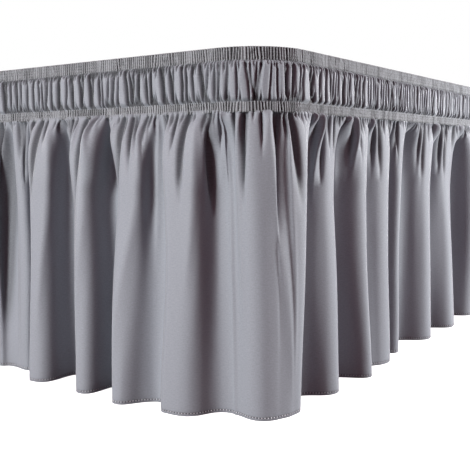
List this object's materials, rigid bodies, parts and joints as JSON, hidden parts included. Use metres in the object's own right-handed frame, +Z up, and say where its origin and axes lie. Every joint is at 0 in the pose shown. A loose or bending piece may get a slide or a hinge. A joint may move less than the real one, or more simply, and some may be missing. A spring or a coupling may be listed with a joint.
{
  "type": "bed skirt",
  "caption": "Wrap-around bed skirt: a ring of gathered grey cloth with two shirred elastics and a short ruffle at its top edge, falling in loose folds to a stitched hem.",
  "frame": {"origin": "centre of the ring at the level of the hem, where the bed stands on the floor", "axes": "+Z up, +Y from the foot of the bed to its head, +X to the right seen from the foot"},
  "size_m": [1.026, 2, 0.457],
  "materials": {
    "skirt_cloth": "smooth grey microfibre with a soft satin sheen",
    "elastic": "finely shirred grey elastic, matte"
  },
  "bodies": {
    "root": {"upper_elastic": "elastic", "heading_ruffle": "skirt_cloth", "lower_elastic": "elastic", "skirt_drop": "skirt_cloth"}
  },
  "joints": []
}
